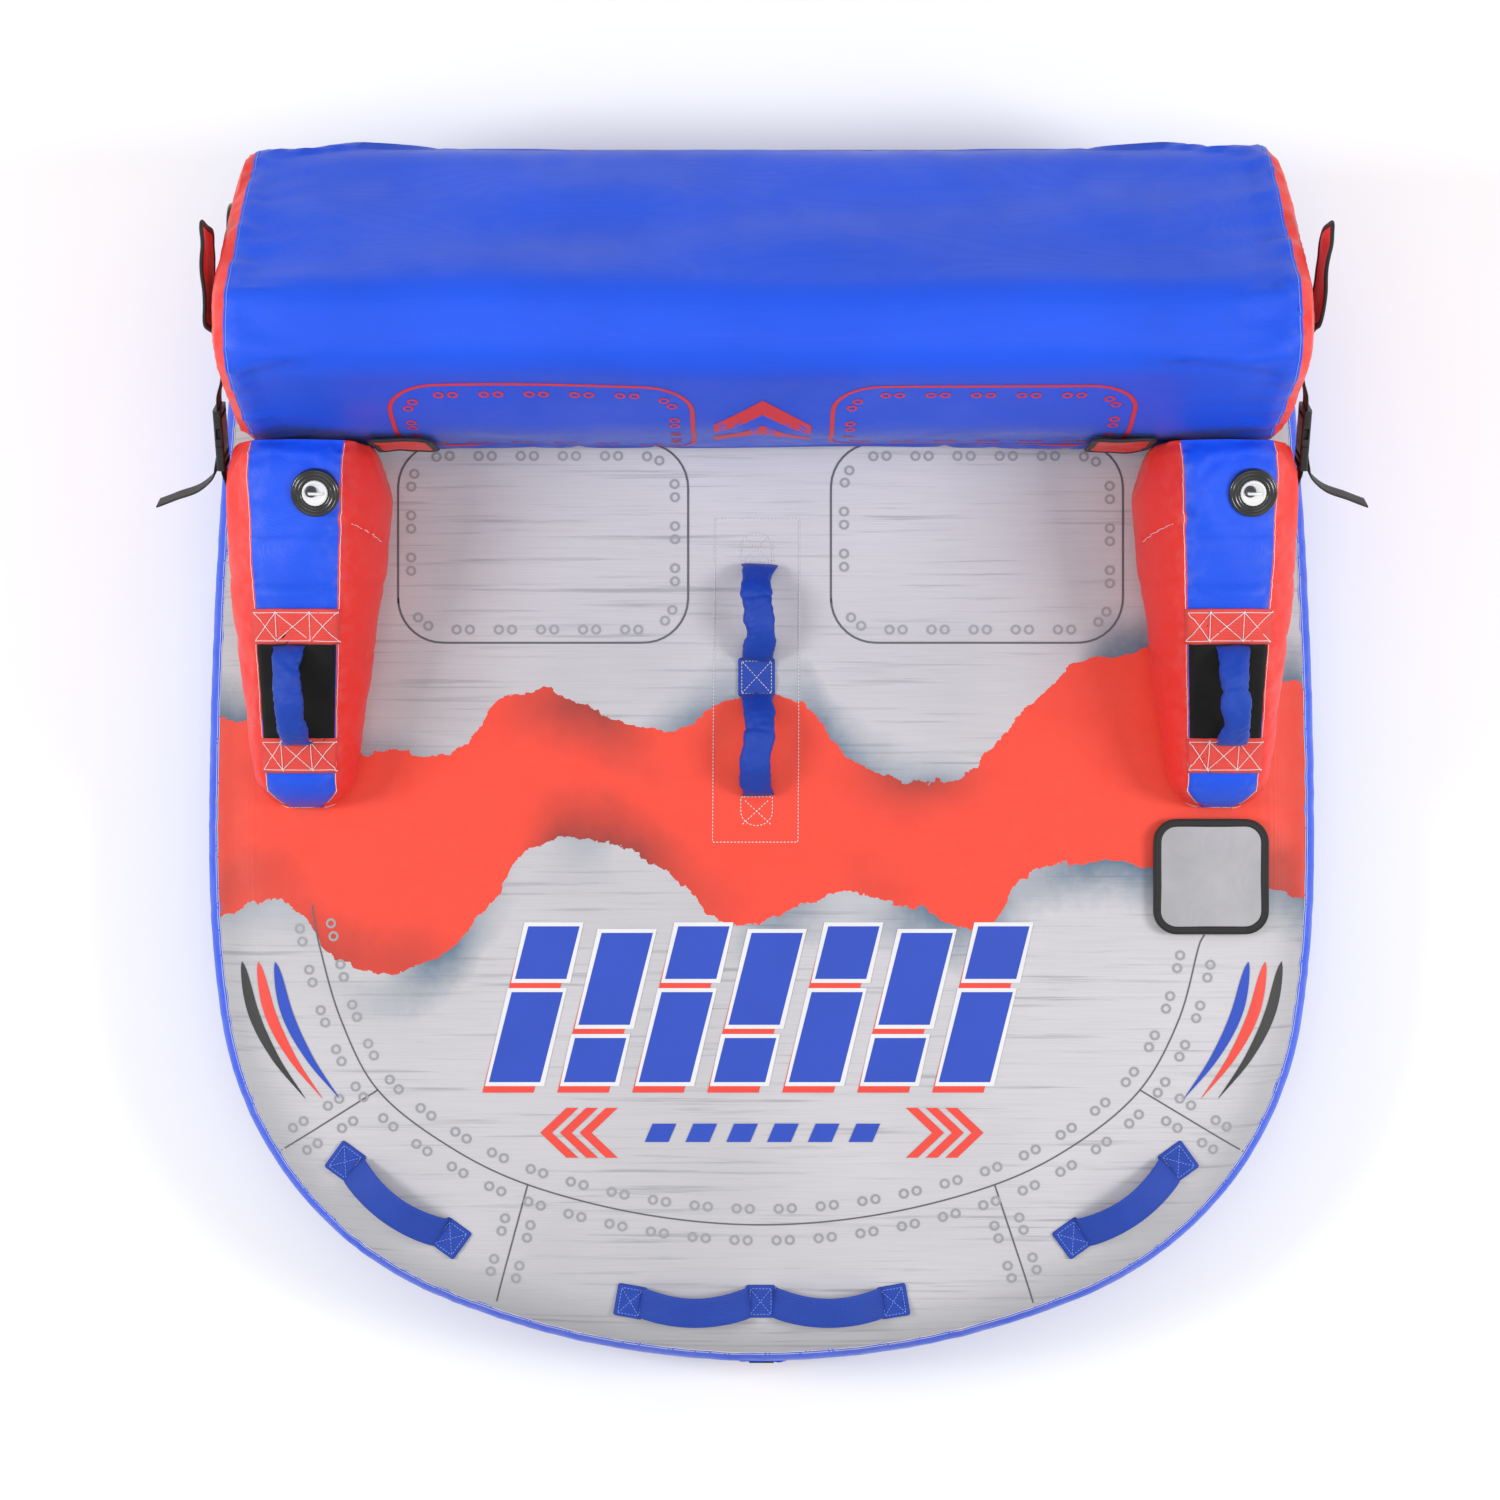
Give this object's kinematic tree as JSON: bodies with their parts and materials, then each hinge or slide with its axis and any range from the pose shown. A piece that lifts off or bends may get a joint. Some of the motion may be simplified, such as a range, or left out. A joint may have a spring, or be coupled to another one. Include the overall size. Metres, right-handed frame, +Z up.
{
  "type": "towable tube",
  "caption": "Inflatable deck tube towed behind a boat, with a strapped-on removable backrest, padded side arms, webbing handles and a nose tow fitting.",
  "frame": {"origin": "middle of the deck's flat underside", "axes": "+X across the deck, to the left hand of a rider who faces the nose; +Y to the backrest; +Z up"},
  "size_m": [1.795, 1.8626, 0.684],
  "materials": {
    "deck_print": "printed woven polyester over PVC, brushed-metal pattern with a torn red band",
    "nylon_gusset": "blue coated nylon, woven",
    "nylon_blue": "blue coated nylon, woven",
    "nylon_red": "red coated nylon, woven",
    "nylon_red_cap": "red coated nylon, woven",
    "base_black": "black coated nylon, heavy weave",
    "bladder_pvc": "smooth heavy PVC film",
    "knuckle_black": "black neoprene, fine texture",
    "webbing_red": "red polypropylene webbing",
    "webbing_blue": "blue polypropylene webbing",
    "webbing_black": "black polypropylene webbing",
    "grip_blue": "blue nylon sleeve over foam",
    "flap_red": "red coated nylon flap with black binding",
    "flap_grey": "printed woven polyester, brushed-metal pattern",
    "binding_black": "black binding tape",
    "valve_black": "moulded black plastic",
    "valve_white": "moulded white plastic",
    "buckle_black": "moulded black acetal",
    "zip_black": "black coil zip on woven tape",
    "zip_metal": "black enamelled zip slider",
    "connector_red": "moulded red tow fitting"
  },
  "bodies": {
    "deck": {"deck_top_panel": "deck_print", "deck_side_gusset": "nylon_gusset", "deck_bottom_panel": "base_black", "deck_bladder": "bladder_pvc", "deck_valve_ring": "valve_black", "deck_valve_pocket_rim": "binding_black", "deck_zip_tape": "zip_black", "centre_handle_webbing": "webbing_blue", "bow_handle_patches": "webbing_blue", "tow_patch": "nylon_blue", "tow_strap": "webbing_black", "arm_left_top_panel": "nylon_blue", "arm_left_side_panels": "nylon_red", "arm_left_bladder": "bladder_pvc", "arm_left_knuckle_pad": "knuckle_black", "arm_left_bands": "webbing_red", "arm_left_valve_ring": "valve_black", "arm_right_top_panel": "nylon_blue", "arm_right_side_panels": "nylon_red", "arm_right_bladder": "bladder_pvc", "arm_right_knuckle_pad": "knuckle_black", "arm_right_bands": "webbing_red", "arm_right_valve_ring": "valve_black"},
    "backrest": {"backrest_cover": "nylon_blue", "backrest_end_cap_left": "nylon_red_cap", "backrest_end_cap_right": "nylon_red_cap", "backrest_bladder": "bladder_pvc", "backrest_valve_ring": "valve_black", "backrest_zip_tape": "zip_black", "strap_upper_left": "webbing_black", "buckle_socket_left": "buckle_black", "strap_upper_right": "webbing_black", "buckle_socket_right": "buckle_black"},
    "harness_left": {"buckle_plug_left": "buckle_black", "strap_lower_left": "webbing_black", "strap_tail_left": "webbing_black"},
    "harness_right": {"buckle_plug_right": "buckle_black", "strap_lower_right": "webbing_black", "strap_tail_right": "webbing_black"},
    "deck_valve_cap": {"deck_valve_cap": "valve_white"},
    "arm_left_valve_cap": {"arm_left_valve_cap": "valve_white"},
    "arm_right_valve_cap": {"arm_right_valve_cap": "valve_white"},
    "backrest_valve_cap": {"backrest_valve_cap": "valve_white"},
    "arm_left_grip": {"arm_left_grip": "grip_blue"},
    "arm_right_grip": {"arm_right_grip": "grip_blue"},
    "centre_grip_rear": {"centre_grip_rear": "grip_blue"},
    "centre_grip_front": {"centre_grip_front": "grip_blue"},
    "nose_strap_left": {"nose_strap_left": "webbing_blue"},
    "nose_strap_right": {"nose_strap_right": "webbing_blue"},
    "side_strap_left": {"side_strap_left": "webbing_blue"},
    "side_strap_right": {"side_strap_right": "webbing_blue"},
    "arm_left_flap": {"arm_left_flap": "flap_red"},
    "arm_right_flap": {"arm_right_flap": "flap_red"},
    "backrest_flap_left": {"backrest_flap_left": "flap_red"},
    "backrest_flap_right": {"backrest_flap_right": "flap_red"},
    "deck_zip_slider": {"deck_zip_slider": "zip_metal"},
    "backrest_zip_slider": {"backrest_zip_slider": "zip_metal"},
    "tow_connector": {"tow_connector": "connector_red"},
    "deck_flap": {"deck_valve_flap": "flap_grey", "deck_valve_flap_binding": "binding_black"}
  },
  "joints": [
    {"name": "backrest_slide", "type": "slide", "parent": "deck", "child": "backrest", "axis": [0, 0.9063, 0.4226], "range_m": [0, 0.45]},
    {"name": "buckle_release_left", "type": "slide", "parent": "deck", "child": "harness_left", "axis": [0, -0.9063, -0.4226], "range_m": [0, 0.03]},
    {"name": "buckle_release_right", "type": "slide", "parent": "deck", "child": "harness_right", "axis": [0, -0.9063, -0.4226], "range_m": [0, 0.03]},
    {"name": "deck_valve_cap_turn", "type": "hinge", "parent": "deck", "child": "deck_valve_cap", "pos_m": [0.681, -0.192, 0.25], "axis": [0, 0, 1], "range_deg": [0, 360]},
    {"name": "arm_left_valve_cap_turn", "type": "hinge", "parent": "deck", "child": "arm_left_valve_cap", "pos_m": [-0.64343, 0.37, 0.49941], "axis": [0, -0.2754, 0.9613], "range_deg": [0, 360]},
    {"name": "arm_right_valve_cap_turn", "type": "hinge", "parent": "deck", "child": "arm_right_valve_cap", "pos_m": [0.70543, 0.37, 0.49941], "axis": [0, -0.2754, 0.9613], "range_deg": [0, 360]},
    {"name": "backrest_valve_cap_turn", "type": "hinge", "parent": "backrest", "child": "backrest_valve_cap", "pos_m": [-0.783, 0.775, 0.37], "axis": [-1, 0, 0], "range_deg": [0, 360]},
    {"name": "arm_left_grip_swing", "type": "hinge", "parent": "deck", "child": "arm_left_grip", "pos_m": [-0.68281, 0.08141, 0.42231], "axis": [0, 0.9371, 0.3491], "range_deg": [-45, 45], "stiffness_Nm_per_rad": 0.15},
    {"name": "arm_right_grip_swing", "type": "hinge", "parent": "deck", "child": "arm_right_grip", "pos_m": [0.68281, 0.08141, 0.42231], "axis": [0, 0.9371, 0.3491], "range_deg": [-45, 45], "stiffness_Nm_per_rad": 0.15},
    {"name": "centre_grip_rear_swing", "type": "hinge", "parent": "deck", "child": "centre_grip_rear", "pos_m": [-0.008, 0.209, 0.266], "axis": [0, 1, 0], "range_deg": [-45, 45], "stiffness_Nm_per_rad": 0.15},
    {"name": "centre_grip_front_swing", "type": "hinge", "parent": "deck", "child": "centre_grip_front", "pos_m": [-0.008, 0.008, 0.266], "axis": [0, 1, 0], "range_deg": [-45, 45], "stiffness_Nm_per_rad": 0.15},
    {"name": "nose_strap_left_swing", "type": "hinge", "parent": "deck", "child": "nose_strap_left", "pos_m": [-0.101, -0.838, 0.262], "axis": [1, 0, 0], "range_deg": [-25, 25], "stiffness_Nm_per_rad": 0.05},
    {"name": "nose_strap_right_swing", "type": "hinge", "parent": "deck", "child": "nose_strap_right", "pos_m": [0.101, -0.838, 0.262], "axis": [1, 0, 0], "range_deg": [-25, 25], "stiffness_Nm_per_rad": 0.05},
    {"name": "side_strap_left_swing", "type": "hinge", "parent": "deck", "child": "side_strap_left", "pos_m": [-0.553, -0.684, 0.262], "axis": [0.809, -0.5878, 0], "range_deg": [-25, 25], "stiffness_Nm_per_rad": 0.05},
    {"name": "side_strap_right_swing", "type": "hinge", "parent": "deck", "child": "side_strap_right", "pos_m": [0.553, -0.684, 0.262], "axis": [0.809, 0.5878, 0], "range_deg": [-25, 25], "stiffness_Nm_per_rad": 0.05},
    {"name": "deck_flap_lift", "type": "hinge", "parent": "deck", "child": "deck_flap", "pos_m": [0.681, -0.1085, 0.262], "axis": [-1, 0, 0], "range_deg": [0, 100]},
    {"name": "arm_left_flap_swing", "type": "hinge", "parent": "deck", "child": "arm_left_flap", "pos_m": [-0.5725, 0.45, 0.38], "axis": [0, 0, -1], "range_deg": [0, 70]},
    {"name": "backrest_flap_left_swing", "type": "hinge", "parent": "backrest", "child": "backrest_flap_left", "pos_m": [-0.788, 0.6, 0.535], "axis": [0, 0, 1], "range_deg": [0, 80]},
    {"name": "arm_right_flap_swing", "type": "hinge", "parent": "deck", "child": "arm_right_flap", "pos_m": [0.5725, 0.45, 0.38], "axis": [0, 0, 1], "range_deg": [0, 70]},
    {"name": "backrest_flap_right_swing", "type": "hinge", "parent": "backrest", "child": "backrest_flap_right", "pos_m": [0.788, 0.6, 0.535], "axis": [0, 0, -1], "range_deg": [-5, 80]},
    {"name": "deck_zip_slide", "type": "slide", "parent": "deck", "child": "deck_zip_slider", "axis": [1, 0, 0], "range_m": [-0.94, 0]},
    {"name": "backrest_zip_slide", "type": "slide", "parent": "backrest", "child": "backrest_zip_slider", "axis": [1, 0, 0], "range_m": [-1.14, 0]},
    {"name": "tow_connector_swing", "type": "hinge", "parent": "deck", "child": "tow_connector", "pos_m": [0, -0.955, 0.092], "axis": [1, 0, 0], "range_deg": [-80, 5]}
  ]
}
